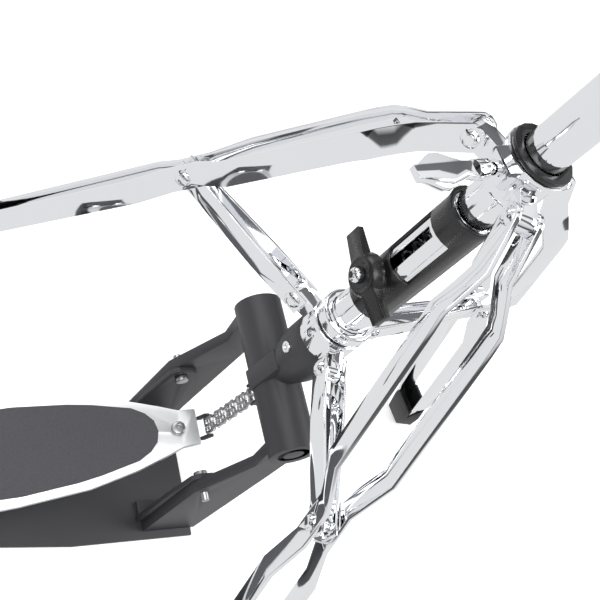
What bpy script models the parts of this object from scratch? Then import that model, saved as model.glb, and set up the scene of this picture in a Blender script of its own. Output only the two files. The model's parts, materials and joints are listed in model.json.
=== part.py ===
"""Hi-hat stand: pedal frame, sprung pull rod, three-leg base, height tube and clutch.

World frame in metres: +Z up along the tube, +X to the player's right, +Y away from the player.
The sizes below are in millimetres; every mesh is scaled to metres when its object is made.
"""
import math

import bmesh
import bpy
from mathutils import Matrix, Vector

METRES_PER_MM = 0.001
GAP = 0.3
SHARP_ANGLE = math.radians(35)

# Tubes and pull rod
TUBE_R = 12.7
TUBE_WALL = 1.5
TUBE_TOP = 600.0
HOUSING_R = 13.8
HOUSING_WALL = 2.0
HOUSING_BASE = 206.5
HOUSING_TOP = 397.7
UPPER_R = 9.5
UPPER_WALL = 1.2
UPPER_BASE = 560.0
UPPER_TOP = 850.0
ROD_R = 3.2
ROD_TOP = 1020.0

# Pedal frame
BASE_FRONT_Y = 10.4
BASE_HEEL_Y = -300.0
BASE_HALF = 58.0
BASE_HEEL_HALF = 40.0
GRIP_T = 1.2
PLATE_T = 3.0
CROSS_Z = 182.5
CROSS_R = 17.0
CROSS_HALF = 57.1
BOSS_TOP = 247.0
BOSS_R = 19.4
CHEEK_IN = 40.0
CHEEK_T = 3.7
ARM_T = 8.0
ARM_HEEL_Y = -31.5
ARM_FRONT_Y = 13.0
BOLT_Y = -22.3
BOLT_Z = 94.3
BOLT_R = 3.0
BOLT_TIP = 57.7

# Three-leg base
LEG_AZIMUTHS = {"a": 218.0, "b": 339.3, "c": 99.0}
HUB_PIVOT_R = 30.8
HUB_PIVOT_Z = 433.3
HUB_R = 17.5
LEG_LENGTH = 484.5
LEG_TOP_ANGLE = 40.3
LEG_LOW_ANGLE = 27.6
BEND_START = 38.0
BEND_END = 73.0
STRAP_H = 15.7
STRAP_T = 3.0
STRAP_SPREAD = ((0, 8.7), (30, 8.7), (56, 19.8), (159, 19.8), (187, 8.4), (214, 8.4), (240, 15.7), (428, 15.7), (478, 9.0))
RIVET_S = 201.9
RIVET_R = 3.0
COLLAR_BASE = 247.4
COLLAR_TOP = 266.0
COLLAR_R = 19.0
STRUT_PIVOT_R = 31.5
STRUT_PIVOT_Z = 256.5
STRUT_H = 15.5
STRUT_HALF = 7.6
STRUT_WALL = 1.8
FOOT_S = 440.0

# Spring tension
SLEEVE_R = 15.8
SLEEVE_BASE = 300.0
SLEEVE_TOP = 399.0
KNOB_Z = 325.0
KNOB_FACE_R = 26.0
WING_HALF = 30.0
SPRING_BASE = 336.0
SPRING_TOP = 440.0
SPRING_R = 8.3
WIRE_R = 1.1
SPRING_TURNS = 10

# Pedal and chain
HEEL_Y = -252.0
HEEL_Z = 15.0
TOE_Y = -8.0
TOE_Z = 93.0
CHAIN_TOP_Z = 155.0
CHAIN_LINKS = 9
BOARD_PITCH = math.radians(18.0)
BOARD_T = 4.0
PAD_T = 1.6

# Upper hardware
CUP_Z = 852.0
CLUTCH_BASE = 942.0


def tidy(mesh_data):
    """Return the mesh with outward normals."""
    bmesh.ops.recalc_face_normals(mesh_data, faces=mesh_data.faces)
    return mesh_data


def pointing(origin, direction):
    """Matrix that takes local +Z to a direction at an origin."""
    turn = Vector(direction).to_track_quat("Z", "Y").to_matrix().to_4x4()
    return Matrix.Translation(origin) @ turn


def lathe(profile, origin=(0, 0, 0), direction=(0, 0, 1), segments=20):
    """Turn (radius, height) points round an axis; a profile off the axis makes a ring."""
    turned = bmesh.new()
    rings = []
    for radius, along in profile:
        if radius == 0:
            rings.append([turned.verts.new((0, 0, along))])
            continue
        angles = [math.tau * i / segments for i in range(segments)]
        rings.append([turned.verts.new((radius * math.cos(a), radius * math.sin(a), along)) for a in angles])
    pairs = list(zip(rings, rings[1:]))
    if profile[0][0] > 0:
        pairs.append((rings[-1], rings[0]))
    for low, high in pairs:
        for i in range(segments):
            j = (i + 1) % segments
            corners = (low[i % len(low)], low[j % len(low)], high[j % len(high)], high[i % len(high)])
            turned.faces.new(list(dict.fromkeys(corners)))
    turned.transform(pointing(origin, direction))
    return tidy(turned)


def ring(inner, outer, low, high, segments=20):
    """Upright ring between two heights."""
    return lathe([(inner, low), (outer, low), (outer, high), (inner, high)], segments=segments)


def bar(start, end, radius, segments=12):
    """Solid cylinder between two points."""
    length = (Vector(end) - Vector(start)).length
    profile = [(0, 0), (radius, 0), (radius, length), (0, length)]
    return lathe(profile, start, Vector(end) - Vector(start), segments)


def block(low, high):
    """Box between two opposite corners."""
    made = bmesh.new()
    bmesh.ops.create_cube(made, size=1)
    size = [h - l for l, h in zip(low, high)]
    middle = [(h + l) / 2 for l, h in zip(low, high)]
    made.transform(Matrix.Translation(middle) @ Matrix.Diagonal((*size, 1)))
    return made


def loft(sections):
    """Solid through outlines that have the same number of points."""
    made = bmesh.new()
    rings = [[made.verts.new(p) for p in outline] for outline in sections]
    count = len(rings[0])
    for low, high in zip(rings, rings[1:]):
        for i in range(count):
            j = (i + 1) % count
            made.faces.new((low[i], low[j], high[j], high[i]))
    made.faces.new(rings[0])
    made.faces.new(rings[-1])
    return tidy(made)


def prism(outline, depth):
    """Solid between an outline and its copy moved by a vector."""
    return loft([outline, [Vector(p) + Vector(depth) for p in outline]])


def about_z(piece, azimuth):
    """Turn a mesh made in the plane y = 0 to an azimuth in degrees."""
    piece.transform(Matrix.Rotation(math.radians(azimuth), 4, "Z"))
    return piece


def material(name, colour, roughness, metallic):
    """Principled material of one sub-part."""
    made = bpy.data.materials.new(name)
    made.use_nodes = True
    shader = made.node_tree.nodes["Principled BSDF"]
    shader.inputs["Base Color"].default_value = (*colour, 1)
    shader.inputs["Roughness"].default_value = roughness
    shader.inputs["Metallic"].default_value = metallic
    return made


FINISHES = {
    "chrome": ((0.86, 0.87, 0.88), 0.08, 1.0),
    "steel": ((0.55, 0.55, 0.56), 0.3, 1.0),
    "cast_black": ((0.035, 0.035, 0.038), 0.5, 0.0),
    "plastic_black": ((0.02, 0.02, 0.02), 0.35, 0.0),
    "rubber": ((0.03, 0.03, 0.03), 0.75, 0.0),
    "silver": ((0.82, 0.83, 0.84), 0.35, 1.0),
    "grit": ((0.06, 0.06, 0.065), 0.9, 0.0),
    "felt": ((0.12, 0.12, 0.12), 0.95, 0.0),
}


def add_object(name, mesh_data, pivot):
    """Object whose origin is at a pivot, from a mesh in millimetres."""
    place = Vector(pivot) * METRES_PER_MM
    mesh_data.transform(Matrix.Translation(-place) @ Matrix.Scale(METRES_PER_MM, 4))
    mesh = bpy.data.meshes.new(name)
    mesh_data.to_mesh(mesh)
    mesh_data.free()
    made = bpy.data.objects.new(name, mesh)
    made.location = place
    bpy.context.scene.collection.objects.link(made)
    return made


def node(name, finish, body, joined=(), cuts=(), pivot=(0, 0, 0), bevel=0.0):
    """Make one sub-part: a body, pieces joined to it, cuts and softened edges."""
    made = add_object(name, body, pivot)
    tools = [("UNION", piece) for piece in joined] + [("DIFFERENCE", piece) for piece in cuts]
    for index, (operation, piece) in enumerate(tools):
        tool = add_object(f"{name}_tool_{index}", piece, (0, 0, 0))
        tool.hide_render = True
        tool.display_type = "WIRE"
        step = made.modifiers.new(operation.title(), "BOOLEAN")
        step.operation = operation
        step.solver = "EXACT"
        step.object = tool
    if bevel:
        edge = made.modifiers.new("Bevel", "BEVEL")
        edge.width = bevel * METRES_PER_MM
        edge.segments = 1
        edge.limit_method = "ANGLE"
        edge.angle_limit = math.radians(50)
    made.data.shade_smooth()
    made.data.set_sharp_from_angle(angle=SHARP_ANGLE)
    made.data.materials.append(material(name, *FINISHES[finish]))
    return made


def base_outline(inset, z):
    """Tapered outline of the floor plate."""
    front = BASE_FRONT_Y - inset
    heel = BASE_HEEL_Y + inset
    wide = BASE_HALF - inset
    slim = BASE_HEEL_HALF - inset
    return [(-wide, front, z), (wide, front, z), (wide, -90, z), (slim, heel, z), (-slim, heel, z), (-wide, -90, z)]


def base():
    """Floor plate, its rubber, the heel plate and the heel pin."""
    top = GRIP_T + GAP + PLATE_T
    node("base_grip", "rubber", prism(base_outline(4, 0), (0, 0, GRIP_T)))
    node("base_plate", "cast_black", prism(base_outline(0, GRIP_T + GAP), (0, 0, PLATE_T)))
    foot = top + GAP
    heel = block((-34, BASE_HEEL_Y + 3, foot), (34, HEEL_Y - 8, foot + 6))
    knuckle = bar((-14, HEEL_Y, HEEL_Z), (14, HEEL_Y, HEEL_Z), 6)
    web = block((-14, HEEL_Y - 14, foot), (14, HEEL_Y - 1, HEEL_Z + 3))
    bore = bar((-20, HEEL_Y, HEEL_Z), (20, HEEL_Y, HEEL_Z), 2.5 + GAP)
    node("heel_plate", "cast_black", heel, [web, knuckle], [bore])
    node("heel_pin", "steel", bar((-27, HEEL_Y, HEEL_Z), (27, HEEL_Y, HEEL_Z), 2.5))


def cheek(side, sign):
    """Side plate inside one arm, with a flange on the floor plate."""
    foot = GRIP_T + 2 * GAP + PLATE_T
    inner = sign * CHEEK_IN
    outline = [(inner, -36, foot), (inner, 8, foot), (inner, 8, 60), (inner, -12, 100)]
    outline += [(inner, -17, 104), (inner, -28, 104), (inner, -33, 99), (inner, -36, 60)]
    web = prism(outline, (sign * CHEEK_T, 0, 0))
    flange = block(sorted_box(inner - sign * 12, inner + sign, -34, 6, foot, foot + 3)[0],
                   sorted_box(inner - sign * 12, inner + sign, -34, 6, foot, foot + 3)[1])
    hole = bar((sign * 30, BOLT_Y, BOLT_Z), (sign * 60, BOLT_Y, BOLT_Z), BOLT_R + GAP)
    node(f"side_cheek_{side}", "cast_black", web, [flange], [hole])


def sorted_box(x0, x1, y0, y1, z0, z1):
    """Low and high corner of a box given in any order along x."""
    return (min(x0, x1), y0, z0), (max(x0, x1), y1, z1)


def arm(sign):
    """One arm of the yoke, from the cross cylinder down to the floor plate."""
    inner = sign * (CHEEK_IN + CHEEK_T + GAP)
    foot = GRIP_T + 2 * GAP + PLATE_T
    points = [(-14, CROSS_Z - 8), (-9.5, 148), (ARM_HEEL_Y, 97), (ARM_HEEL_Y, foot)]
    points += [(ARM_FRONT_Y, foot), (ARM_FRONT_Y + 1.5, 126), (14, CROSS_Z - 8)]
    return prism([(inner, y, z) for y, z in points], (sign * ARM_T, 0, 0))


def yoke():
    """Cast yoke: boss round the tube, cross cylinder and two arms."""
    cross = bar((-CROSS_HALF, 0, CROSS_Z), (CROSS_HALF, 0, CROSS_Z), CROSS_R, 24)
    profile = [(0, CROSS_Z), (11, CROSS_Z), (13, 201), (17, 212), (BOSS_R, 224), (BOSS_R, BOSS_TOP - 1.5)]
    profile += [(BOSS_R - 1, BOSS_TOP), (0, BOSS_TOP)]
    tongue = loft([[(-7, -4, 170), (7, -4, 170), (7, -18.5, 176), (-7, -18.5, 176)],
                   [(-7, -4, 212), (7, -4, 212), (7, -17, 212), (-7, -17, 212)]])
    holes = [bar((0, 0, HOUSING_BASE - GAP), (0, 0, BOSS_TOP + 5), HOUSING_R + GAP, 20)]
    holes.append(bar((0, 0, CROSS_Z - 30), (0, 0, BOSS_TOP), 9.8))
    holes.append(bar((0, -10, 230), (0, -30, 230), 4 + GAP))
    holes.append(bar((-70, BOLT_Y, BOLT_Z), (70, BOLT_Y, BOLT_Z), BOLT_R + GAP))
    node("yoke", "cast_black", cross, [arm(-1), arm(1), tongue, lathe(profile)], holes)
    cap = lathe([(0, 3.2), (2, 3.2), (2, 5.8), (3.6, 5.8), (4, 5.4), (4, 0), (0, 0)], (0, -14.4, 230), (0, -1, 0), 16)
    node("yoke_screw", "chrome", cap)
    for side, sign in (("left", -1), ("right", 1)):
        bolt = [(0, 36), (5, 36), (5, CHEEK_IN - GAP), (BOLT_R, CHEEK_IN - GAP), (BOLT_R, BOLT_TIP), (0, BOLT_TIP)]
        node(f"hinge_bolt_{side}", "steel", lathe(bolt, (0, BOLT_Y, BOLT_Z), (sign, 0, 0), 12))


def tubes():
    """Slotted spring housing, base tube, stop ring, height clamp and its bush."""
    slot = block((-3.5, -20, 302), (3.5, -5, 376))
    node("spring_housing", "chrome", ring(HOUSING_R - HOUSING_WALL, HOUSING_R, HOUSING_BASE, HOUSING_TOP), cuts=[slot])
    node("base_tube", "chrome", ring(TUBE_R - TUBE_WALL, TUBE_R, HOUSING_TOP + GAP, TUBE_TOP))
    bore = HOUSING_R + GAP
    stop = [(bore, COLLAR_TOP + 2.6), (18.2, COLLAR_TOP + 2.6), (18.9, COLLAR_TOP + 4), (18.9, COLLAR_TOP + 11)]
    stop += [(17.9, COLLAR_TOP + 12), (bore, COLLAR_TOP + 12)]
    node("stop_ring", "chrome", lathe(stop))
    node("gap_ring", "plastic_black", ring(bore, 17.0, COLLAR_TOP + GAP, COLLAR_TOP + 2.3))
    grip = TUBE_R + GAP
    clamp = [(grip, TUBE_TOP - 30), (17, TUBE_TOP - 30), (18, TUBE_TOP - 28), (18, TUBE_TOP - 2), (17, TUBE_TOP)]
    clamp += [(grip, TUBE_TOP)]
    lug = block((-8, -36, TUBE_TOP - 24), (8, -15, TUBE_TOP - 6))
    screw_hole = bar((0, -40, TUBE_TOP - 15), (0, -10, TUBE_TOP - 15), 3 + GAP)
    node("height_clamp", "chrome", lathe(clamp), [lug], [screw_hole])
    bush = [(UPPER_R + GAP, TUBE_TOP - 28), (TUBE_R - TUBE_WALL - GAP, TUBE_TOP - 28)]
    bush += [(TUBE_R - TUBE_WALL - GAP, TUBE_TOP + GAP), (15, TUBE_TOP + GAP), (15, TUBE_TOP + 3)]
    bush += [(UPPER_R + GAP, TUBE_TOP + 3)]
    node("clamp_bush", "plastic_black", lathe(bush))


def wing(name, origin, direction, shank_r, shank, scale):
    """Flat kite-shaped wing screw along a direction, with its pivot on its own axis."""
    hub_r = shank_r + 2.4
    profile = [(0, 0), (shank_r, 0), (shank_r, shank), (hub_r, shank), (hub_r, shank + 9), (0, shank + 10)]
    core = lathe(profile, origin, direction, 14)
    half = [(4, 1), (4.5, 16), (9.5, 30), (9.5, 36), (4.5, 45), (3.8, 49)]
    outline = [(x * scale, shank + z * scale) for x, z in half]
    outline += [(-x, z) for x, z in reversed(outline)]
    plate = prism([(x, -1.9, z) for x, z in outline], (0, 3.8, 0))
    plate.transform(pointing(origin, direction))
    node(name, "chrome", core, [plate], pivot=origin)


def leg_angle(s):
    """Angle from upright of a leg's middle line at a length from the hub pivot."""
    share = min(max((s - BEND_START) / (BEND_END - BEND_START), 0), 1)
    return math.radians(LEG_TOP_ANGLE + share * (LEG_LOW_ANGLE - LEG_TOP_ANGLE))


def leg_point(s):
    """Radius and height of a leg's middle line at a length from the hub pivot."""
    steps = 60
    radius, height = HUB_PIVOT_R, HUB_PIVOT_Z
    for i in range(steps):
        angle = leg_angle((i + 0.5) * s / steps)
        radius += math.sin(angle) * s / steps
        height -= math.cos(angle) * s / steps
    return radius, height


def strap_spread(s):
    """Distance of a strap's outer face from the leg's middle plane."""
    spread = STRAP_SPREAD[-1][1]
    for (s0, w0), (s1, w1) in zip(STRAP_SPREAD, STRAP_SPREAD[1:]):
        if s0 <= s <= s1:
            spread = w0 + (w1 - w0) * (s - s0) / (s1 - s0)
    return STRAP_SPREAD[0][1] if s < 0 else spread


def strap(sign):
    """One strap of a leg, made in the plane y = 0."""
    ends = [(-7.6, 3.0), (-5.6, 10.6), (-2.6, 14.6)]
    stations = [0, 20, 30, 40, 48, 56, 66, 73, 110, 159, 187, RIVET_S, 214, 240, 330, 428, 452, 478]
    sections = []
    for s, depth in ends + [(s, STRAP_H) for s in stations]:
        radius, height = leg_point(max(s, 0))
        angle = leg_angle(s)
        radius += math.sin(angle) * min(s, 0)
        height -= math.cos(angle) * min(s, 0)
        outer = sign * strap_spread(s)
        inner = outer - sign * STRAP_T
        lift = (math.cos(angle) * depth / 2, math.sin(angle) * depth / 2)
        sections.append([(radius + lift[0], outer, height + lift[1]), (radius - lift[0], outer, height - lift[1]),
                         (radius - lift[0], inner, height - lift[1]), (radius + lift[0], inner, height + lift[1])])
    return loft(sections)


def across_bar(radius, height, r, half, segments=12):
    """Cylinder across the plane y = 0."""
    return bar((radius, -half, height), (radius, half, height), r, segments)


def pin(radius, height, half, head=5.0):
    """Headed cross pin for straps whose outer faces are at half."""
    reach = half + GAP
    profile = [(0, -reach - 2), (head * 0.6, -reach - 2), (head, -reach), (RIVET_R, -reach), (RIVET_R, reach)]
    profile += [(head, reach), (head * 0.6, reach + 2), (0, reach + 2)]
    return lathe(profile, (radius, 0, height), (0, 1, 0), 12)


def legs():
    """Six straps, three feet and the rivets of the three legs."""
    mid = leg_point(RIVET_S)
    for letter, azimuth in LEG_AZIMUTHS.items():
        for side, sign in (("left", 1), ("right", -1)):
            holes = [across_bar(HUB_PIVOT_R, HUB_PIVOT_Z, RIVET_R + GAP, 30), across_bar(*mid, RIVET_R + GAP, 30)]
            holes = [about_z(hole, azimuth) for hole in holes]
            node(f"leg_{letter}_strap_{side}", "chrome", about_z(strap(sign), azimuth), cuts=holes)
        pins = (("hub", HUB_PIVOT_R, HUB_PIVOT_Z, 8.7), ("mid", *mid, 8.4))
        pins += (("collar", STRUT_PIVOT_R, STRUT_PIVOT_Z, STRUT_HALF),)
        for place, radius, height, half in pins:
            node(f"leg_{letter}_{place}_pin", "chrome", about_z(pin(radius, height, half), azimuth))
        foot(letter, azimuth)


def foot(letter, azimuth):
    """Faceted rubber foot round the lower ends of two straps."""
    sections = []
    for s, depth, half in ((FOOT_S, 20, 17.5), (FOOT_S + 8, 23, 19), (LEG_LENGTH - 4, 25, 16), (LEG_LENGTH + 4, 17, 12)):
        radius, height = leg_point(s)
        angle = leg_angle(s)
        dr, dz = math.cos(angle) * depth / 2, math.sin(angle) * depth / 2
        low = max(height - dz, 0.0)
        corner = half * 0.6
        sections.append([(radius + dr, corner, height + dz), (radius, half, height), (radius - dr, corner, low),
                         (radius - dr, -corner, low), (radius, -half, height), (radius + dr, -corner, height + dz)])
    body = loft(sections)
    hollow = []
    for s in (FOOT_S - 3, 480.5):
        radius, height = leg_point(s)
        angle = leg_angle(s)
        half = strap_spread(min(s, 478)) + GAP + 0.6
        dr, dz = math.cos(angle) * (STRAP_H / 2 + GAP), math.sin(angle) * (STRAP_H / 2 + GAP)
        hollow.append([(radius + dr, half, height + dz), (radius - dr, half, height - dz),
                       (radius - dr, -half, height - dz), (radius + dr, -half, height + dz)])
    floor_cut = block((200, -60, -60), (330, 60, 0))
    node(f"leg_{letter}_foot", "rubber", about_z(body, azimuth),
         cuts=[about_z(loft(hollow), azimuth), about_z(floor_cut, azimuth)])


def strut(letter, azimuth):
    """Channel strut from the collar's ear out to the leg's rivet."""
    inner_end, outer_end = STRUT_PIVOT_R, leg_point(RIVET_S)[0]
    low_z, high_z = STRUT_PIVOT_Z, leg_point(RIVET_S)[1]
    middle = inner_end + 34
    ends = ((inner_end - 7, low_z, STRUT_HALF), (middle, low_z + 1.5, STRUT_HALF),
            (outer_end - 16, high_z - 0.6, 5.0), (outer_end + 7, high_z, 5.0))
    outside, inside = [], []
    for faces, shrink in ((outside, 0), (inside, STRUT_WALL)):
        for radius, height, half in ends:
            top, low, w = height + STRUT_H / 2 + 2 * shrink, height - STRUT_H / 2 + shrink, half - shrink
            along = radius + math.copysign(shrink, radius - middle)
            faces.append([(along, w, top), (along, -w, top), (along, -w, low), (along, w, low)])
    clear = STRUT_HALF - STRUT_WALL - 0.1
    relief = block((inner_end - 12, -clear, low_z - 12), (inner_end + 12, clear, low_z + 12))
    holes = [across_bar(inner_end, low_z, RIVET_R + GAP, 30), across_bar(outer_end, high_z, RIVET_R + GAP, 30)]
    cuts = [about_z(piece, azimuth) for piece in (loft(inside), relief, *holes)]
    node(f"strut_{letter}", "chrome", about_z(loft(outside), azimuth), cuts=cuts)


def ear(radius_in, radius_out, height, half, depth):
    """Rounded ear that stands out of a collar at azimuth 0."""
    outline = [(radius_in, -half, height + depth / 2), (radius_in, -half, height - depth / 2)]
    for i in range(9):
        turn = math.pi * (i / 8 - 0.5)
        outline.append((radius_out + depth / 2 * math.cos(turn), -half, height + depth / 2 * math.sin(turn)))
    return prism(outline, (0, 2 * half, 0))


def leg_collar():
    """Lower collar with an ear for each strut, its set screw and the struts."""
    bore = HOUSING_R + GAP
    profile = [(bore, COLLAR_BASE), (COLLAR_R, COLLAR_BASE), (COLLAR_R, COLLAR_TOP), (bore, COLLAR_TOP)]
    joined, cuts = [], []
    for azimuth in LEG_AZIMUTHS.values():
        joined.append(about_z(ear(16.5, STRUT_PIVOT_R, STRUT_PIVOT_Z, 5.4, 12), azimuth))
        cuts.append(about_z(across_bar(STRUT_PIVOT_R, STRUT_PIVOT_Z, RIVET_R + GAP, 20), azimuth))
    cuts.append(about_z(bar((10, 0, 256), (30, 0, 256), 2.3 + GAP, 12), -82))
    node("leg_collar", "chrome", lathe(profile), joined, cuts)
    for letter, azimuth in LEG_AZIMUTHS.items():
        strut(letter, azimuth)


def hub():
    """Upper hub with ears for the legs, a lug for its wing screw, and its bush."""
    bore = TUBE_R + 0.6
    profile = [(0, 424), (HUB_R - 1, 424), (HUB_R, 426), (HUB_R, 444), (20, 446.5), (20, 450), (0, 450)]
    joined, cuts = [], []
    for azimuth in LEG_AZIMUTHS.values():
        joined.append(about_z(ear(15, HUB_PIVOT_R, HUB_PIVOT_Z, 5.4, 13), azimuth))
        cuts.append(about_z(across_bar(HUB_PIVOT_R, HUB_PIVOT_Z, RIVET_R + GAP, 20), azimuth))
    lug = block((15, -8, 433), (29, 8, 450))
    joined.append(about_z(lug, WING_AZIMUTH))
    cuts.append(about_z(bar((8, 0, WING_Z), (40, 0, WING_Z), 3 + GAP, 12), WING_AZIMUTH))
    cuts.append(bar((0, 0, 400), (0, 0, 470), bore, 20))
    node("hub", "chrome", lathe(profile), joined, cuts)
    node("hub_bush", "plastic_black", ring(bore, 19, 450 + GAP, 453))


WING_AZIMUTH = -79.0
WING_Z = 442.0


def wing_screws():
    """Wing screws of the hub, the height clamp and the clutch."""
    angle = math.radians(WING_AZIMUTH)
    outward = (math.cos(angle), math.sin(angle), 0)
    start = (13.8 * outward[0], 13.8 * outward[1], WING_Z)
    wing("hub_wing_screw", start, outward, 3.0, 21, 1.0)
    wing("height_wing_screw", (0, -13.5, TUBE_TOP - 15), (0, -1, 0), 3.0, 24, 1.0)
    wing("clutch_wing_screw", (0, -ROD_R - 0.6, CLUTCH_BASE + 60), (0, -1, 0), 2.2, 12, 0.6)


def tension():
    """Sliding sleeve with a window, and the winged tension knob."""
    bore = HOUSING_R + GAP
    profile = [(0, SLEEVE_BASE), (SLEEVE_R, SLEEVE_BASE), (SLEEVE_R, SLEEVE_TOP - 6), (17, SLEEVE_TOP)]
    profile += [(0, SLEEVE_TOP)]
    boss = bar((0, -8, KNOB_Z), (0, -17.5, KNOB_Z), 10, 20)
    window = about_z(block((8, -13, 340), (30, 13, 380)), -84)
    cuts = [window, bar((0, 0, 280), (0, 0, 420), bore, 20), bar((0, -5, KNOB_Z), (0, -30, KNOB_Z), 3 + GAP, 12)]
    node("tension_sleeve", "plastic_black", lathe(profile), [boss], cuts)
    profile = [(0, 8), (3, 8), (3, 17.8), (13.6, 17.8), (14, 19), (13, KNOB_FACE_R - 2), (11, KNOB_FACE_R)]
    profile += [(4.6, KNOB_FACE_R), (4.2, KNOB_FACE_R + 3), (2.2, KNOB_FACE_R + 4.4), (2.2, 33), (0, 33)]
    lobes = []
    for sign in (-1, 1):
        tilt = sign * WING_HALF
        outline = [(sign * 8, 18.2), (tilt, 18.2), (tilt, 22.5), (sign * 8, KNOB_FACE_R - 1)]
        blade = prism([(along, -out, KNOB_Z - 6) for along, out in outline], (0, 0, 12))
        lobes.append(blade)
    core = lathe(profile, (0, 0, KNOB_Z), (0, -1, 0), 20)
    node("tension_knob", "plastic_black", core, lobes, pivot=(0, 0, KNOB_Z))


def spring():
    """Return spring round the pull rod, one wire swept along a helix."""
    sides, steps = 4, 9
    pitch = (SPRING_TOP - SPRING_BASE - 2 * WIRE_R) / SPRING_TURNS
    sections = []
    for i in range(SPRING_TURNS * steps + 1):
        turn = math.tau * i / steps
        middle = SPRING_BASE + WIRE_R + pitch * i / steps
        outline = []
        for k in range(sides):
            around = math.tau * k / sides
            radius = SPRING_R + WIRE_R * math.cos(around)
            outline.append((radius * math.cos(turn), radius * math.sin(turn), middle + WIRE_R * math.sin(around)))
        sections.append(outline)
    node("return_spring", "steel", loft(sections))


def pull_rod():
    """Pull rod with the collar that the spring lifts, and its lower clevis."""
    low_end, collar = CHAIN_TOP_Z + 8, SPRING_TOP + GAP
    profile = [(0, low_end), (ROD_R, low_end), (ROD_R, collar), (10.2, collar), (10.2, collar + 6)]
    profile += [(ROD_R, collar + 6), (ROD_R, ROD_TOP), (0, ROD_TOP)]
    node("pull_rod", "steel", lathe(profile, segments=16))
    low, high = CHAIN_TOP_Z - 4, CHAIN_TOP_Z + 16
    body = block((-7.8, -4, low), (7.8, 4, high))
    slot = block((-6.0, -6, low - 1), (6.0, 6, CHAIN_TOP_Z + 5))
    socket = bar((0, 0, CHAIN_TOP_Z + 7.7), (0, 0, high + 1), ROD_R + GAP, 14)
    hole = bar((-9, 0, CHAIN_TOP_Z), (9, 0, CHAIN_TOP_Z), 1.2 + GAP, 10)
    node("rod_clevis", "cast_black", body, cuts=[slot, socket, hole], pivot=(0, 0, CHAIN_TOP_Z))


def chain():
    """Double-row chain as one swinging piece: pins with rollers, joined by link plates."""
    top, toe = Vector((0, 0, CHAIN_TOP_Z)), Vector((0, TOE_Y, TOE_Z))
    along = (toe - top) / CHAIN_LINKS
    pins, plates = [], []
    for i in range(CHAIN_LINKS + 1):
        centre = top + along * i
        profile = [(0, -6.6), (1.2, -6.6), (1.2, -4.6), (2.0, -4.6), (2.0, -1.2), (1.2, -1.2), (1.2, 1.2)]
        profile += [(2.0, 1.2), (2.0, 4.6), (1.2, 4.6), (1.2, 6.6), (0, 6.6)]
        pins.append(lathe(profile, centre, (1, 0, 0), 8))
    side = along.normalized().cross(Vector((1, 0, 0)))
    for i in range(CHAIN_LINKS):
        start, end = top + along * (i - 0.12), top + along * (i + 1.12)
        waist = side * 1.3
        for x in (-4.0, 4.0) if i % 2 else (-5.2, 0, 5.2):
            shift = Vector((x - 0.45, 0, 0))
            outline = [start + waist * 1.4, end + waist * 1.4, end - waist * 1.4, start - waist * 1.4]
            plates.append(prism([p + shift for p in outline], (0.9, 0, 0)))
    node("chain", "steel", pins[0], pins[1:] + plates, pivot=top)


def board_point(x, along, lift=0.0):
    """Point on the footboard: along its slope from the heel axis, and above it."""
    rise = HEEL_Z - 1.5 + along * math.sin(BOARD_PITCH) + lift * math.cos(BOARD_PITCH)
    return x, HEEL_Y + along * math.cos(BOARD_PITCH) - lift * math.sin(BOARD_PITCH), rise


def board_half(along):
    """Half width of the footboard at a length from the heel axis."""
    widths = ((8, 33), (30, 38), (75, 41), (115, 39.5), (165, 35), (200, 27), (222, 19.7), (236, 14.5), (249, 13.6))
    for (a0, w0), (a1, w1) in zip(widths, widths[1:]):
        if a0 <= along <= a1:
            return w0 + (w1 - w0) * (along - a0) / (a1 - a0)
    return widths[0][1] if along < widths[0][0] else widths[-1][1]


def footboard():
    """Footboard with its heel knuckles, grip pad, toe screw and toe clevis."""
    stations = [9.5, 30, 55, 75, 95, 115, 140, 165, 185, 200, 211, 222, 229, 236, 249]
    lows = []
    for along in stations:
        half = board_half(along)
        lows.append([board_point(-half, along), board_point(half, along),
                     board_point(half, along, BOARD_T), board_point(-half, along, BOARD_T)])
    knuckles = [bar((x0, HEEL_Y, HEEL_Z), (x0 + 12, HEEL_Y, HEEL_Z), 5.5, 14) for x0 in (-26.5, 14.5)]
    webs = [block((x0 + 0.6, HEEL_Y + 1, HEEL_Z - 2.7), (x0 + 11.4, HEEL_Y + 14, HEEL_Z + 3.6)) for x0 in (-26.5, 14.5)]
    bore = bar((-40, HEEL_Y, HEEL_Z), (40, HEEL_Y, HEEL_Z), 2.5 + GAP)
    screw = [bar(board_point(0, 234, -6), board_point(0, 234, 12), 3 + GAP, 12)]
    node("footboard", "silver", loft(lows), knuckles + webs, [bore] + screw, pivot=(0, HEEL_Y, HEEL_Z))
    rim = []
    steps = 32
    for i in range(steps):
        turn = math.tau * i / steps
        along = 118 + 101 * math.cos(turn)
        half = min(board_half(along) - 6, 33.5 * abs(math.sin(turn)) ** 0.85)
        rim.append(board_point(math.copysign(half, math.sin(turn)), along, BOARD_T + GAP))
    lift = Vector(board_point(0, 0, PAD_T)) - Vector(board_point(0, 0, 0))
    node("footboard_pad", "grit", prism(rim, lift), pivot=(0, HEEL_Y, HEEL_Z))
    head = [(0, -9), (3, -9), (3, BOARD_T + GAP), (5.4, BOARD_T + GAP), (5.4, BOARD_T + 2), (4.6, BOARD_T + 2.8)]
    head += [(2, BOARD_T + 2.8), (2, BOARD_T + 1), (0, BOARD_T + 1)]
    normal = Vector(board_point(0, 0, 1)) - Vector(board_point(0, 0, 0))
    node("toe_screw", "steel", lathe(head, board_point(0, 234), normal, 12), pivot=(0, HEEL_Y, HEEL_Z))
    toe_clevis()


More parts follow.
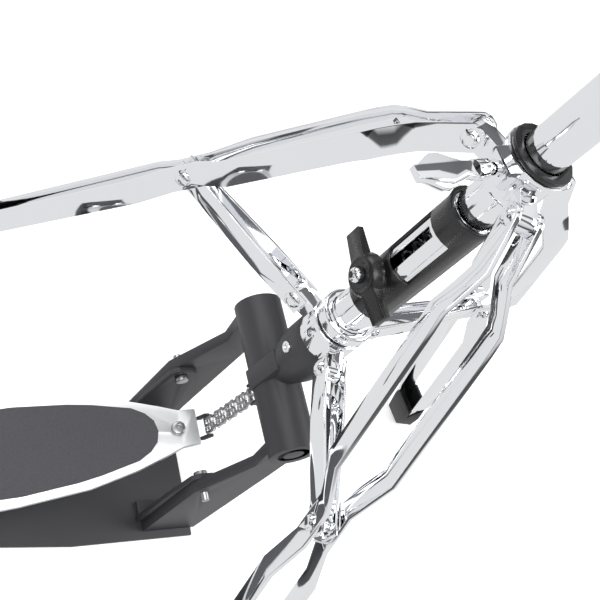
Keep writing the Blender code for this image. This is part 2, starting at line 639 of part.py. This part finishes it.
def toe_clevis():
    """Clevis under the toe of the board that holds the chain's last pin."""
    plate = prism([board_point(-9, 226, -GAP), board_point(9, 226, -GAP), board_point(9, 245, -GAP),
                   board_point(-9, 245, -GAP)], Vector(board_point(0, 0, -2.5)) - Vector(board_point(0, 0, 0)))
    ears = []
    for x in (-9, 7.2):
        outline = [board_point(x, 236, -1.4), board_point(x, 236, -5), board_point(x, 254, -5), (x, TOE_Y + 3.4, TOE_Z + 1), (x, TOE_Y + 2, TOE_Z + 3.6)]
        outline += [(x, TOE_Y - 2, TOE_Z + 3.6), (x, TOE_Y - 4, TOE_Z), board_point(x, 250.5, -0.7)]
        ears.append(prism(outline, (1.8, 0, 0)))
    hole = bar(board_point(0, 234, -12), board_point(0, 234, 12), 3 + GAP, 12)
    node("toe_clevis", "cast_black", plate, ears, [hole], pivot=(0, HEEL_Y, HEEL_Z))


def upper():
    """Sliding upper tube with the cymbal cup and its felt."""
    node("upper_tube", "chrome", ring(UPPER_R - UPPER_WALL, UPPER_R, UPPER_BASE, UPPER_TOP, 24))
    cup = [(ROD_R + 1.5, CUP_Z - 14), (UPPER_R - UPPER_WALL - GAP, CUP_Z - 14), (UPPER_R - UPPER_WALL - GAP, UPPER_TOP + GAP)]
    cup += [(11, UPPER_TOP + GAP), (24, CUP_Z + 6), (24, CUP_Z + 8), (8, CUP_Z + 8), (8, CUP_Z + 20), (ROD_R + 1.5, CUP_Z + 20)]
    node("cymbal_cup", "chrome", lathe(cup))
    node("cup_felt", "felt", ring(8 + GAP, 19, CUP_Z + 8 + GAP, CUP_Z + 15, 24))


def clutch():
    """Clutch on the pull rod: threaded body, felts, nut and wing screw."""
    bore = ROD_R + 0.5
    stem = [(bore, CLUTCH_BASE), (6, CLUTCH_BASE), (6, CLUTCH_BASE + 46), (11, CLUTCH_BASE + 48), (11, CLUTCH_BASE + 70)]
    stem += [(9, CLUTCH_BASE + 72), (bore, CLUTCH_BASE + 72)]
    hole = bar((0, 0, CLUTCH_BASE + 60), (0, -20, CLUTCH_BASE + 60), 2.2 + GAP, 10)
    node("clutch_body", "chrome", lathe(stem, segments=20), cuts=[hole])
    node("clutch_felt", "felt", ring(6 + GAP, 17, CLUTCH_BASE + 10, CLUTCH_BASE + 26, 20))
    node("clutch_nut", "chrome", ring(6 + GAP, 12, CLUTCH_BASE + 2, CLUTCH_BASE + 9.7, 12))


def main():
    """Clear the scene and build every sub-part."""
    for old in list(bpy.data.objects):
        bpy.data.objects.remove(old)
    base()
    cheek("left", -1)
    cheek("right", 1)
    yoke()
    tubes()
    leg_collar()
    hub()
    legs()
    wing_screws()
    tension()
    spring()
    pull_rod()
    chain()
    footboard()
    upper()
    clutch()


main()
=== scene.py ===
"""Studio picture of the hi-hat stand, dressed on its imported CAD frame."""
from __future__ import annotations

import json
import logging
import math
from dataclasses import dataclass
from enum import Enum

import bmesh
import bpy
from mathutils import Matrix, Vector

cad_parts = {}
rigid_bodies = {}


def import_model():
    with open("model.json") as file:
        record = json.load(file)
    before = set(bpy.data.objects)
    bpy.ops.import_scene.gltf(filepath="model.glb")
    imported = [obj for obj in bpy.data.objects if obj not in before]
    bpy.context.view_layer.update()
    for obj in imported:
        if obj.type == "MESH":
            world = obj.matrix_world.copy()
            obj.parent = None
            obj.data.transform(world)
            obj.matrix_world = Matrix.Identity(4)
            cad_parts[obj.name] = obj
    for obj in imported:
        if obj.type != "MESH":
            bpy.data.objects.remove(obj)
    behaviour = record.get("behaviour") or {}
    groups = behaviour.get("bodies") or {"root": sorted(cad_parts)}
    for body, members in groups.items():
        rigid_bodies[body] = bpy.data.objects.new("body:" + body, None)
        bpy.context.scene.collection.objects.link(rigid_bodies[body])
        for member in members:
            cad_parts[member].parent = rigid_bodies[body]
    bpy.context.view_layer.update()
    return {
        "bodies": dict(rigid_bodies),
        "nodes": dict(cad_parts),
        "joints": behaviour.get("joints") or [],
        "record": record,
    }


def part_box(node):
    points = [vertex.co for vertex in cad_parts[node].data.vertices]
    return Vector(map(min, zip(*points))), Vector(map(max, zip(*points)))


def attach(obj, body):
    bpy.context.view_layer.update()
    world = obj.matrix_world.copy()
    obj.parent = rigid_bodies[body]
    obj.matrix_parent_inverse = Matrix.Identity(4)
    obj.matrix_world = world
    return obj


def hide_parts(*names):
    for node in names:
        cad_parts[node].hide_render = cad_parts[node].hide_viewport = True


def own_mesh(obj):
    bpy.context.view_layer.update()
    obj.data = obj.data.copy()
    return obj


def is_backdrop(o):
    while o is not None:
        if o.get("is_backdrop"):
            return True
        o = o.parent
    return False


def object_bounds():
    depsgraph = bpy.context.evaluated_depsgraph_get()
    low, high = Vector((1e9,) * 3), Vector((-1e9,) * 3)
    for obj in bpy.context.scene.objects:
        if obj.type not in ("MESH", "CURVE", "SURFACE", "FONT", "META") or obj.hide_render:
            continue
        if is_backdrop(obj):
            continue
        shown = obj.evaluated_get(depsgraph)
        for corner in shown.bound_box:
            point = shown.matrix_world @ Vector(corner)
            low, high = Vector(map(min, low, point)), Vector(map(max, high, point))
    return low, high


LOG = logging.getLogger("hi_hat")
MM = 0.001

Triple = tuple[float, float, float]
Pair = tuple[float, float]


class Surface(Enum):
    """The kinds of finish on the stand."""

    CHROME = "chrome"
    STEEL = "steel"
    CAST = "cast"
    MOULDED = "moulded"
    RUBBER = "rubber"
    SILVER = "silver"
    GRIT = "grit"
    FELT = "felt"


@dataclass(frozen=True)
class Finish:
    """Procedural material with fine surface variation.

    Args:
        colour: Base colour of the surface.
        fleck: Colour that the grain mixes into the base colour.
        metallic: Metallic value.
        roughness: Lowest and highest roughness of the variation.
        grain: Scale of the fine noise, per metre.
        relief: Height of the bump in metres.
        detail: Octaves of the noise.
        bump: Strength of the bump.
    """

    colour: Triple
    fleck: Triple
    metallic: float
    roughness: Pair
    grain: float
    relief: float
    detail: float = 4.0
    bump: float = 0.6

    def build(self, name: str) -> bpy.types.Material:
        """Make the material.

        Args:
            name: Name of the new material.

        Returns:
            The material with its nodes linked.
        """
        made = bpy.data.materials.new(name)
        made.use_nodes = True
        nodes, links = made.node_tree.nodes, made.node_tree.links
        shader = nodes["Principled BSDF"]
        shader.inputs["Metallic"].default_value = self.metallic
        place = nodes.new("ShaderNodeTexCoord")
        noise = nodes.new("ShaderNodeTexNoise")
        noise.inputs["Scale"].default_value = self.grain
        noise.inputs["Detail"].default_value = self.detail
        links.new(place.outputs["Object"], noise.inputs["Vector"])
        rough = nodes.new("ShaderNodeMapRange")
        rough.inputs["To Min"].default_value, rough.inputs["To Max"].default_value = self.roughness
        links.new(noise.outputs["Fac"], rough.inputs["Value"])
        links.new(rough.outputs["Result"], shader.inputs["Roughness"])
        tint = nodes.new("ShaderNodeMix")
        tint.data_type = "RGBA"
        tint.inputs["A"].default_value = (*self.colour, 1)
        tint.inputs["B"].default_value = (*self.fleck, 1)
        links.new(noise.outputs["Fac"], tint.inputs["Factor"])
        links.new(tint.outputs["Result"], shader.inputs["Base Color"])
        bump = nodes.new("ShaderNodeBump")
        bump.inputs["Distance"].default_value = self.relief
        bump.inputs["Strength"].default_value = self.bump
        links.new(noise.outputs["Fac"], bump.inputs["Height"])
        links.new(bump.outputs["Normal"], shader.inputs["Normal"])
        return made


FINISHES = {
    Surface.CHROME: Finish(colour=(0.93, 0.94, 0.95), fleck=(0.9, 0.91, 0.93), metallic=1.0,
                           roughness=(0.03, 0.07), grain=40, relief=0.000004),
    Surface.STEEL: Finish(colour=(0.5, 0.5, 0.51), fleck=(0.36, 0.36, 0.37), metallic=1.0,
                          roughness=(0.2, 0.4), grain=900, relief=0.00002),
    Surface.CAST: Finish(colour=(0.028, 0.028, 0.031), fleck=(0.045, 0.045, 0.05), metallic=0.0,
                         roughness=(0.42, 0.55), grain=1800, relief=0.00004),
    Surface.MOULDED: Finish(colour=(0.008, 0.008, 0.009), fleck=(0.014, 0.014, 0.015), metallic=0.0,
                            roughness=(0.22, 0.32), grain=1200, relief=0.00002),
    Surface.RUBBER: Finish(colour=(0.022, 0.022, 0.023), fleck=(0.035, 0.035, 0.036), metallic=0.0,
                           roughness=(0.55, 0.75), grain=700, relief=0.00005),
    Surface.SILVER: Finish(colour=(0.86, 0.87, 0.88), fleck=(0.78, 0.79, 0.8), metallic=0.85,
                           roughness=(0.3, 0.45), grain=1500, relief=0.00003),
    Surface.GRIT: Finish(colour=(0.03, 0.03, 0.034), fleck=(0.11, 0.11, 0.12), metallic=0.0,
                         roughness=(0.7, 0.95), grain=1500, relief=0.0003),
    Surface.FELT: Finish(colour=(0.07, 0.07, 0.075), fleck=(0.14, 0.14, 0.15), metallic=0.0,
                         roughness=(0.9, 1.0), grain=600, relief=0.0004),
}

NODES_OF = {
    Surface.RUBBER: ("base_grip", "leg_a_foot", "leg_b_foot", "leg_c_foot"),
    Surface.CAST: ("base_plate", "heel_plate", "side_cheek_left", "side_cheek_right", "yoke", "rod_clevis",
                   "toe_clevis"),
    Surface.STEEL: ("heel_pin", "hinge_bolt_left", "hinge_bolt_right", "return_spring", "pull_rod", "chain",
                    "toe_screw"),
    Surface.MOULDED: ("gap_ring", "clamp_bush", "hub_bush", "tension_sleeve", "tension_knob"),
    Surface.SILVER: ("footboard",),
    Surface.GRIT: ("footboard_pad",),
    Surface.FELT: ("cup_felt", "clutch_felt"),
}


def as_object(name: str, mesh: bmesh.types.BMesh) -> bpy.types.Object:
    """Make an object of the scene from a finished bmesh.

    Args:
        name: Name of the object and of its mesh.
        mesh: The bmesh, which is freed.

    Returns:
        The new object, at the origin.
    """
    data = bpy.data.meshes.new(name)
    mesh.to_mesh(data)
    mesh.free()
    made = bpy.data.objects.new(name, data)
    bpy.context.scene.collection.objects.link(made)
    return made


def shade(piece: bpy.types.Object, sharp_from: float, look: bpy.types.Material) -> None:
    """Shade a piece smooth between its sharp edges, and give it its material.

    Args:
        piece: The piece.
        sharp_from: Angle between two faces, in degrees, from which their edge is sharp.
        look: Its only material.
    """
    piece.data.shade_smooth()
    piece.data.set_sharp_from_angle(angle=math.radians(sharp_from))
    piece.data.materials.clear()
    piece.data.materials.append(look)


@dataclass(frozen=True)
class Dressing:
    """How one CAD node is redrawn with soft edges. Angles are in degrees.

    Args:
        width: Width of the edge rounding in millimetres.
        segments: Steps across each rounding.
        merge: Distance in metres within which two corners are one.
        level: Angle within which neighbouring faces are one plane.
        round_from: Angle from which an edge is rounded.
        sharp_from: Angle from which an edge that is left is shaded sharp.
    """

    width: float = 0.35
    segments: int = 2
    merge: float = 0.000001
    level: float = 1.0
    round_from: float = 40.0
    sharp_from: float = 42.0

    def dress(self, node: bpy.types.Object, body: str, look: bpy.types.Material) -> bpy.types.Object:
        """Copy a node's mesh, round its edges and put it in the node's place.

        Args:
            node: The CAD node.
            body: The body that it moves with.
            look: Material of the piece.

        Returns:
            The new piece.
        """
        mesh = bmesh.new()
        mesh.from_mesh(node.data)
        bmesh.ops.remove_doubles(mesh, verts=mesh.verts, dist=self.merge)
        level = math.radians(self.level)
        bmesh.ops.dissolve_limit(mesh, angle_limit=level, verts=mesh.verts, edges=mesh.edges)
        piece = as_object(f"{node.name}_skin", mesh)
        self._round(piece)
        shade(piece, self.sharp_from, look)
        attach(piece, body)
        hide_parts(node.name)
        LOG.info("dressed %s on %s", node.name, body)
        return piece

    def _round(self, piece: bpy.types.Object) -> None:
        """Round a piece's edges in its mesh.

        Args:
            piece: The piece, with no modifier yet.
        """
        edges = piece.modifiers.new("Edges", "BEVEL")
        edges.width = self.width * MM
        edges.segments = self.segments
        edges.limit_method = "ANGLE"
        edges.angle_limit = math.radians(self.round_from)
        evaluated = piece.evaluated_get(bpy.context.evaluated_depsgraph_get())
        piece.data = bpy.data.meshes.new_from_object(evaluated)
        piece.modifiers.clear()


class Stand:
    """The CAD nodes of the stand, each redrawn on its body."""

    USUAL = Dressing()
    FINE = Dressing(width=0.12, segments=1)
    FINE_NODES = ("chain", "return_spring", "toe_screw", "rod_clevis", "footboard_pad", "base_grip")
    SPRING = "return_spring"
    SPRING_KEEP = 0.457

    def __init__(self, frame: dict) -> None:
        """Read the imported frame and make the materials.
        """
        self.nodes = frame["nodes"]
        self.bodies = frame["record"]["behaviour"]["bodies"]
        self.surfaces = {name: kind for kind, names in NODES_OF.items() for name in names}
        self.looks = {kind: finish.build(f"look_{kind.value}") for kind, finish in FINISHES.items()}

    def surface(self, name: str) -> Surface:
        """Finish of a node.

        Args:
            name: The CAD node's name.

        Returns:
            Its surface kind, chrome unless listed otherwise.
        """
        return self.surfaces.get(name, Surface.CHROME)

    def build(self) -> None:
        """Dress every node."""
        for body, names in self.bodies.items():
            for name in names:
                style = self.FINE if name in self.FINE_NODES else self.USUAL
                piece = style.dress(self.nodes[name], body, self.looks[self.surface(name)])
                if name == self.SPRING:
                    self._shorten(piece)

    def _shorten(self, spring: bpy.types.Object) -> None:
        """Give the spring, whose top goes down with the rod, a mesh of its own.

        Args:
            spring: The dressed return spring.
        """
        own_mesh(spring)


@dataclass(frozen=True)
class Turned:
    """Small round piece made by turning a profile.

    Args:
        profile: Radius and height of each step in millimetres, from axis to axis.
        segments: Sides of each circle.
        sharp_from: Angle in degrees from which an edge is shaded sharp.
    """

    profile: tuple[Pair, ...]
    segments: int = 40
    sharp_from: float = 38.0

    def make(self, name: str, origin: Vector, axis: Vector, look: bpy.types.Material) -> bpy.types.Object:
        """Turn the profile and place it in the mesh.

        Args:
            name: Name of the piece.
            origin: Place of the profile's height 0, in metres.
            axis: Direction in which the profile's heights grow.
            look: Its material.

        Returns:
            The new piece.
        """
        mesh = bmesh.new()
        rings = [self._ring(mesh, radius, height) for radius, height in self.profile]
        for low, high in zip(rings, rings[1:]):
            for i in range(self.segments):
                j = (i + 1) % self.segments
                corners = (low[i % len(low)], low[j % len(low)], high[j % len(high)], high[i % len(high)])
                mesh.faces.new(list(dict.fromkeys(corners)))
        bmesh.ops.recalc_face_normals(mesh, faces=mesh.faces)
        turn = Vector(axis).to_track_quat("Z", "Y").to_matrix().to_4x4()
        mesh.transform(Matrix.Translation(origin) @ turn @ Matrix.Scale(MM, 4))
        piece = as_object(name, mesh)
        shade(piece, self.sharp_from, look)
        return piece

    def _ring(self, mesh: bmesh.types.BMesh, radius: float, height: float) -> list[bmesh.types.BMVert]:
        """Corners of one step of the profile.

        Args:
            mesh: Where the corners go.
            radius: Radius of the step, 0 on the axis.
            height: Height of the step.

        Returns:
            The corners in order, or the single one on the axis.
        """
        count = self.segments if radius else 1
        turns = [math.tau * i / count for i in range(count)]
        return [mesh.verts.new((radius * math.cos(t), radius * math.sin(t), height)) for t in turns]


@dataclass(frozen=True)
class PinHeads:
    """Heads on both ends of the legs' pins.

    Args:
        dome: Shape of the heads on leg a.
        eyelet: Shape of the heads on the other legs.
        places: The pins of each leg.
        depth: How far a head's back lies inside the pin's end, in millimetres.
    """

    dome: Turned = Turned(((0, 0), (5.4, 0), (5.5, 0.6), (4.9, 1.5), (3.4, 2.3), (1.8, 2.6), (0, 2.7)))
    eyelet: Turned = Turned(((0, 0), (5.2, 0), (5.3, 0.8), (4.5, 1.5), (3.2, 1.3), (2.6, 0.6), (0, 0.5)))
    places: tuple[str, ...] = ("hub", "mid", "collar")
    depth: float = 2.6

    def build(self, stand: Stand) -> None:
        """Put a head on both ends of every pin.

        Args:
            stand: The dressed stand.
        """
        for leg, shape in (("a", self.dome), ("b", self.eyelet), ("c", self.eyelet)):
            for place in self.places:
                for side in (-1, 1):
                    self._on_pin(stand, f"leg_{leg}_{place}_pin", side, shape)

    def _on_pin(self, stand: Stand, pin: str, side: int, shape: Turned) -> None:
        """Put a head on one end of a pin.

        Args:
            stand: The dressed stand.
            pin: The pin's node.
            side: 1 for the end ahead in the sense of turning, -1 for the other.
            shape: The head.
        """
        points = [Vector(v.co) for v in stand.nodes[pin].data.vertices]
        middle = sum(points, Vector()) / len(points)
        axis = Vector((-middle.y, middle.x, 0)).normalized() * side
        reach = max((p - middle).dot(axis) for p in points)
        back = middle + axis * (reach - self.depth * MM)
        name = f"{pin}_head_{'left' if side > 0 else 'right'}"
        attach(shape.make(name, back, axis, stand.looks[Surface.CHROME]), "tripod")
        LOG.info("added %s", name)


@dataclass(frozen=True)
class KnobTrim:
    """Ringed face and bright stud end of the tension knob.

    Args:
        stud: Shape of the stud's end.
        face: Shape of the face.
        axis: Direction in which the knob points.
        axis_z: Height of the knob's axis in millimetres.
        stud_depth: How far the stud end's back lies behind the knob's front, in millimetres.
        face_depth: How far the face's back lies behind the knob's front, in millimetres.
    """

    stud: Turned = Turned(((0, 0), (4.6, 0), (4.6, 1.4), (4.0, 2.4), (2.6, 3.0), (2.4, 4.2), (0, 4.3)))
    face: Turned = Turned(((0, -0.4), (11.2, -0.4), (11.4, 0.2), (10.2, 0.7), (9.2, 0.3), (8.0, 0.3),
                           (7.4, 0.8), (5.4, 0.8), (4.9, 0.4), (0, 0.4)))
    axis: Triple = (0, -1, 0)
    axis_z: float = 325.0
    stud_depth: float = 4.4
    face_depth: float = 7.2

    def build(self, stand: Stand) -> None:
        """Put the stud's end and the face on the knob.

        Args:
            stand: The dressed stand.
        """
        axis = Vector(self.axis)
        front = Vector((0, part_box("tension_knob")[0].y, self.axis_z * MM))
        for name, shape, depth, surface in (("knob_stud_end", self.stud, self.stud_depth, Surface.CHROME),
                                            ("knob_face", self.face, self.face_depth, Surface.MOULDED)):
            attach(shape.make(name, front - axis * (depth * MM), axis, stand.looks[surface]), "knob")
            LOG.info("added %s", name)


@dataclass(frozen=True)
class YokeCaps:
    """Ringed caps on the ends of the yoke's cross cylinder.

    Args:
        cap: Shape of a cap.
        axis_z: Height of the cylinder's axis in millimetres.
        depth: How far a cap's height 0 lies inside the cylinder's end, in millimetres.
    """

    cap: Turned = Turned(((0, -0.6), (15.6, -0.6), (15.6, 0.0), (12.8, 0.05), (12.4, -0.25), (11.6, -0.25),
                          (11.2, 0.05), (7.2, 0.05), (6.8, -0.25), (6.0, -0.25), (5.6, 0.0), (0, 0.0)))
    axis_z: float = 182.5
    depth: float = 0.05

    def build(self, stand: Stand) -> None:
        """Put a cap on each end.

        Args:
            stand: The dressed stand.
        """
        low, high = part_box("yoke")
        for name, sign, end in (("yoke_cap_left", -1, low.x), ("yoke_cap_right", 1, high.x)):
            place = Vector((end - sign * self.depth * MM, 0, self.axis_z * MM))
            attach(self.cap.make(name, place, Vector((sign, 0, 0)), stand.looks[Surface.CAST]), "frame")
            LOG.info("added %s", name)


@dataclass(frozen=True)
class Camera:
    """The photograph's viewpoint, solved from the legs and the tube.

    Args:
        place: Camera position in metres.
        right: Direction of the picture's right side.
        down: Direction of the picture's lower side.
        forward: Direction of view.
        focal_px: Focal length in pixels of the picture.
        picture_px: Side of the square picture in pixels.
        sensor: Width of the camera's sensor in millimetres.
        near: Distance in metres from which things are seen.
    """

    place: Triple = (0.2397, -0.3772, 0.7140)
    right: Triple = (0.23039, 0.82578, 0.51478)
    down: Triple = (0.88308, 0.0448, -0.46708)
    forward: Triple = (-0.40877, 0.56221, -0.71891)
    focal_px: float = 998.7
    picture_px: float = 600.0
    sensor: float = 36.0
    near: float = 0.01

    def build(self) -> None:
        """Put the camera in the scene."""
        data = bpy.data.cameras.new("camera")
        data.sensor_width = self.sensor
        data.lens = self.sensor * self.focal_px / self.picture_px
        data.clip_start = self.near
        camera = bpy.data.objects.new("camera", data)
        turn = Matrix((self.right, [-v for v in self.down], [-v for v in self.forward])).transposed().to_4x4()
        camera.matrix_world = Matrix.Translation(self.place) @ turn
        bpy.context.scene.collection.objects.link(camera)
        bpy.context.scene.camera = camera


@dataclass(frozen=True)
class Lamp:
    """Square soft light aimed at a point.

    Args:
        name: Name of the light.
        place: Its position in metres.
        size: Side of its square in metres.
        power: Its power in watts.
        aim: The point that it is aimed at.
    """

    name: str
    place: Triple
    size: float
    power: float
    aim: Triple = (0, 0, 0.35)

    def build(self) -> None:
        """Put the light in the scene."""
        data = bpy.data.lights.new(self.name, "AREA")
        data.shape = "SQUARE"
        data.size = self.size
        data.energy = self.power
        lamp = bpy.data.objects.new(self.name, data)
        turn = (Vector(self.aim) - Vector(self.place)).to_track_quat("-Z", "Y").to_matrix().to_4x4()
        lamp.matrix_world = Matrix.Translation(self.place) @ turn
        bpy.context.scene.collection.objects.link(lamp)


@dataclass(frozen=True)
class Floor:
    """Plain pale floor at height 0, which shows as light grey in glossy surfaces.

    Args:
        half: Half of its side in metres.
        colour: Its colour.
        roughness: Its roughness.
        glow: Strength of the white light that it gives off.
        mirrored: Its colour in glossy surfaces.
    """

    half: float = 3.0
    colour: Triple = (0.97, 0.97, 0.97)
    roughness: float = 0.6
    glow: float = 0.35
    mirrored: Triple = (0.8, 0.8, 0.81)

    def build(self) -> None:
        """Put the floor in the scene."""
        data = bpy.data.meshes.new("floor")
        signs = ((-1, -1), (1, -1), (1, 1), (-1, 1))
        data.from_pydata([(x * self.half, y * self.half, 0) for x, y in signs], [], [(0, 1, 2, 3)])
        data.materials.append(self._paint())
        floor = bpy.data.objects.new("floor", data)
        bpy.context.scene.collection.objects.link(floor)
        floor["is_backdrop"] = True

    def _paint(self) -> bpy.types.Material:
        """Material of the floor."""
        paint = bpy.data.materials.new("floor_paint")
        paint.use_nodes = True
        nodes, links = paint.node_tree.nodes, paint.node_tree.links
        shader = nodes["Principled BSDF"]
        shader.inputs["Base Color"].default_value = (*self.colour, 1)
        shader.inputs["Roughness"].default_value = self.roughness
        shader.inputs["Emission Color"].default_value = (1, 1, 1, 1)
        shader.inputs["Emission Strength"].default_value = self.glow
        seen = nodes.new("ShaderNodeEmission")
        seen.inputs["Color"].default_value = (*self.mirrored, 1)
        rays = nodes.new("ShaderNodeLightPath")
        mix = nodes.new("ShaderNodeMixShader")
        links.new(rays.outputs["Is Glossy Ray"], mix.inputs["Fac"])
        links.new(shader.outputs[0], mix.inputs[1])
        links.new(seen.outputs[0], mix.inputs[2])
        links.new(mix.outputs[0], nodes["Material Output"].inputs["Surface"])
        return paint


@dataclass(frozen=True)
class Room:
    """Pale surroundings for the light and the reflections, and plain white for the camera.

    Args:
        below: Colour straight below.
        above: Colour straight above.
        bands: Height and grey of each band between. Height 0 is straight below, and 1 is straight above.
        blue: Blue of a band as a share of its grey.
        card_scale: Scale of the wave that sets the upright darker cards.
        card_bend: How much the cards' edges wander.
        card_edge: Where on the wave a card ends, and where full light begins.
        card: Colour of a card.
        strength: Brightness of the surroundings.
    """

    below: Triple = (0.9, 0.9, 0.92)
    above: Triple = (1.0, 1.0, 1.0)
    bands: tuple[Pair, ...] = ((0.44, 0.85), (0.475, 0.12), (0.56, 0.08), (0.62, 0.7), (0.8, 0.92))
    blue: float = 1.02
    card_scale: float = 0.55
    card_bend: float = 1.6
    card_edge: Pair = (0.24, 0.34)
    card: Triple = (0.2, 0.2, 0.21)
    strength: float = 0.92

    def build(self) -> None:
        """Make the world."""
        world = bpy.data.worlds.new("studio")
        world.use_nodes = True
        bpy.context.scene.world = world
        nodes, links = world.node_tree.nodes, world.node_tree.links
        nodes.clear()
        direction = nodes.new("ShaderNodeTexCoord").outputs["Generated"]
        shaded = nodes.new("ShaderNodeMix")
        shaded.data_type = "RGBA"
        shaded.blend_type = "MULTIPLY"
        shaded.inputs["Factor"].default_value = 1.0
        links.new(self._bands(world.node_tree, direction), shaded.inputs["A"])
        links.new(self._cards(world.node_tree, direction), shaded.inputs["B"])
        room = nodes.new("ShaderNodeBackground")
        links.new(shaded.outputs["Result"], room.inputs["Color"])
        room.inputs["Strength"].default_value = self.strength
        white = nodes.new("ShaderNodeBackground")
        white.inputs["Color"].default_value = (1, 1, 1, 1)
        white.inputs["Strength"].default_value = 1.0
        rays = nodes.new("ShaderNodeLightPath")
        mix = nodes.new("ShaderNodeMixShader")
        links.new(rays.outputs["Is Camera Ray"], mix.inputs["Fac"])
        links.new(room.outputs[0], mix.inputs[1])
        links.new(white.outputs[0], mix.inputs[2])
        links.new(mix.outputs[0], nodes.new("ShaderNodeOutputWorld").inputs["Surface"])

    def _bands(self, tree: bpy.types.NodeTree, direction: bpy.types.NodeSocket) -> bpy.types.NodeSocket:
        """Colour by height.

        Args:
            tree: The world's nodes.
            direction: Direction that is looked in.

        Returns:
            The colour's socket.
        """
        split = tree.nodes.new("ShaderNodeSeparateXYZ")
        tree.links.new(direction, split.inputs[0])
        # The direction's upward part runs from -1 to 1, and the ramp's heights from 0 to 1.
        half = 0.5
        height = tree.nodes.new("ShaderNodeMath")
        height.operation = "MULTIPLY_ADD"
        height.inputs[1].default_value = half
        height.inputs[2].default_value = half
        tree.links.new(split.outputs["Z"], height.inputs[0])
        ramp = tree.nodes.new("ShaderNodeValToRGB")
        tree.links.new(height.outputs[0], ramp.inputs["Fac"])
        stops = ramp.color_ramp.elements
        stops[0].position, stops[0].color = 0.0, (*self.below, 1)
        stops[1].position, stops[1].color = 1.0, (*self.above, 1)
        for where, grey in self.bands:
            stops.new(where).color = (grey, grey, grey * self.blue, 1)
        return ramp.outputs["Color"]

    def _cards(self, tree: bpy.types.NodeTree, direction: bpy.types.NodeSocket) -> bpy.types.NodeSocket:
        """Shade of the upright darker cards.

        Args:
            tree: The world's nodes.
            direction: Direction that is looked in.

        Returns:
            The shade's socket, white between the cards.
        """
        wave = tree.nodes.new("ShaderNodeTexWave")
        wave.bands_direction = "X"
        wave.inputs["Scale"].default_value = self.card_scale
        wave.inputs["Distortion"].default_value = self.card_bend
        tree.links.new(direction, wave.inputs["Vector"])
        ramp = tree.nodes.new("ShaderNodeValToRGB")
        card, light = ramp.color_ramp.elements
        card.position, light.position = self.card_edge
        card.color, light.color = (*self.card, 1), (1, 1, 1, 1)
        tree.links.new(wave.outputs["Fac"], ramp.inputs["Fac"])
        return ramp.outputs["Color"]


@dataclass(frozen=True)
class Studio:
    """Floor, three soft lights and the surroundings.

    Args:
        key_power: Power of the overhead light in watts.
        fill_share: Power of the light from the left as a share of it.
        rim_share: Power of the light from behind as a share of it.
    """

    key_power: float = 22.0
    fill_share: float = 0.5
    rim_share: float = 0.6

    def build(self) -> None:
        """Make the floor, the lights and the world."""
        Floor().build()
        fill_power = self.key_power * self.fill_share
        rim_power = self.key_power * self.rim_share
        Lamp(name="key", place=(0.6, -0.9, 1.9), size=1.3, power=self.key_power).build()
        Lamp(name="fill", place=(-1.4, -0.6, 1.2), size=1.2, power=fill_power).build()
        Lamp(name="rim", place=(0.5, 1.5, 1.3), size=1.2, power=rim_power).build()
        Room().build()
        bpy.context.scene.view_settings.view_transform = "Standard"


def corners() -> list[list[float]]:
    """Lowest and highest corner of the shown object as plain lists."""
    return [list(corner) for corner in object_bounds()]


def main() -> None:
    """Build the picture."""
    logging.basicConfig(level=logging.INFO)
    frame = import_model()
    stand = Stand(frame)
    stand.build()
    for details in (PinHeads(), KnobTrim(), YokeCaps()):
        details.build(stand)
    Camera().build()
    Studio().build()


if __name__ == "__main__":
    main()
